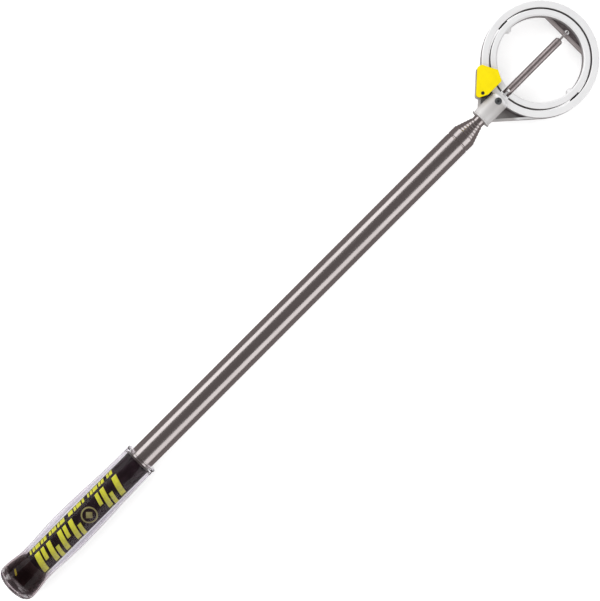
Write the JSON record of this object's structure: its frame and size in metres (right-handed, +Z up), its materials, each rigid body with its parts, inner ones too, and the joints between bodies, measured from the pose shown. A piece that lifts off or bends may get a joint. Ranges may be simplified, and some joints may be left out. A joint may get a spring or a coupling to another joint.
{
  "type": "telescopic ball retriever",
  "caption": "Telescopic ball retriever: clear sleeved grip, nested stainless tubes that slide out, and a hoop head whose inner hoop flips over a ball by a sprung strut, with a swinging catch.",
  "frame": {"origin": "middle of the object's footprint: halfway along its length, on the shaft's centre line in Y, at the height of the surface the butt lies on", "axes": "+X along the shaft from the butt to the hoop, +Y to the catch's side of the hoop, +Z up, the front of the hoop; the shaft's axis is 11.3 mm above the origin"},
  "size_m": [0.4356, 0.0634, 0.0226],
  "materials": {
    "clear_sleeve": "clear soft plastic, glossy",
    "dark_plastic": "dark moulded plastic",
    "printed_insert": null,
    "stainless": "polished stainless steel, faintly drawn along its length",
    "brass": "brass strip",
    "nylon": "moulded nylon",
    "cast_metal": "satin silver-white die casting",
    "dark_steel": "blackened steel",
    "yellow_plastic": "bright yellow moulded plastic",
    "strut_metal": "drawn steel",
    "screw_steel": "plated steel, satin",
    "seal_rubber": "translucent grey-brown rubber",
    "plate_steel": "stamped stainless sheet, satin",
    "wire_steel": "bright spring wire"
  },
  "bodies": {
    "handle": {"grip_sleeve": "clear_sleeve", "butt_plug": "dark_plastic", "grip_insert": "printed_insert", "mouth_ring": "seal_rubber", "main_tube": "stainless", "stop_plug": "nylon"},
    "section_1": {"section_1": "stainless", "friction_shim_1": "brass"},
    "section_2": {"section_2": "stainless", "friction_shim_2": "brass"},
    "section_3": {"section_3": "stainless", "friction_shim_3": "brass"},
    "section_4": {"section_4": "stainless", "friction_shim_4": "brass"},
    "section_5": {"section_5": "stainless", "friction_shim_5": "brass"},
    "head": {"section_6": "stainless", "friction_shim_6": "brass", "head_frame": "cast_metal", "set_screw": "screw_steel", "ring_pin_left": "dark_steel", "ring_pin_right": "dark_steel", "pivot_washer_left": "dark_plastic", "pivot_washer_right": "dark_plastic", "clip_pin": "dark_steel", "clip_washer": "dark_steel", "strut_pin": "dark_steel"},
    "flip_hoop": {"inner_ring": "cast_metal", "trip_plate": "plate_steel"},
    "catch": {"locking_clip": "yellow_plastic"},
    "strut": {"strut_tube": "strut_metal", "strut_cap": "strut_metal", "strut_spring": "wire_steel"},
    "wire": {"strut_wire": "wire_steel", "wire_retainer": "dark_steel"}
  },
  "joints": [
    {"name": "section_1_slide", "type": "slide", "parent": "handle", "child": "section_1", "axis": [1, 0, 0], "range_m": [0, 0.285]},
    {"name": "section_2_slide", "type": "slide", "parent": "section_1", "child": "section_2", "axis": [1, 0, 0], "range_m": [0, 0.285]},
    {"name": "section_3_slide", "type": "slide", "parent": "section_2", "child": "section_3", "axis": [1, 0, 0], "range_m": [0, 0.285]},
    {"name": "section_4_slide", "type": "slide", "parent": "section_3", "child": "section_4", "axis": [1, 0, 0], "range_m": [0, 0.285]},
    {"name": "section_5_slide", "type": "slide", "parent": "section_4", "child": "section_5", "axis": [1, 0, 0], "range_m": [0, 0.285]},
    {"name": "section_6_slide", "type": "slide", "parent": "section_5", "child": "head", "axis": [1, 0, 0], "range_m": [0, 0.285]},
    {"name": "hoop_flip", "type": "hinge", "parent": "head", "child": "flip_hoop", "pos_m": [0.1853, 0, 0.009], "axis": [0, -1, 0], "range_deg": [0, 45], "deforming": ["strut_spring"]},
    {"name": "strut_swing", "type": "hinge", "parent": "head", "child": "strut", "pos_m": [0.1607, 0, 0.009], "axis": [0, -1, 0], "range_deg": [0, 22]},
    {"name": "wire_turn", "type": "hinge", "parent": "flip_hoop", "child": "wire", "pos_m": [0.2076, 0, 0.0062], "axis": [0, -1, 0], "range_deg": [-24, 0]},
    {"name": "catch_swing", "type": "hinge", "parent": "head", "child": "catch", "pos_m": [0.1506, 0.00895, 0.0143], "axis": [0, 0, 1], "range_deg": [0, 75]}
  ],
  "couplings": [
    {"joint": "strut_swing", "follows": "hoop_flip", "ratio": 0.4767},
    {"joint": "wire_turn", "follows": "hoop_flip", "ratio": -0.5233}
  ]
}
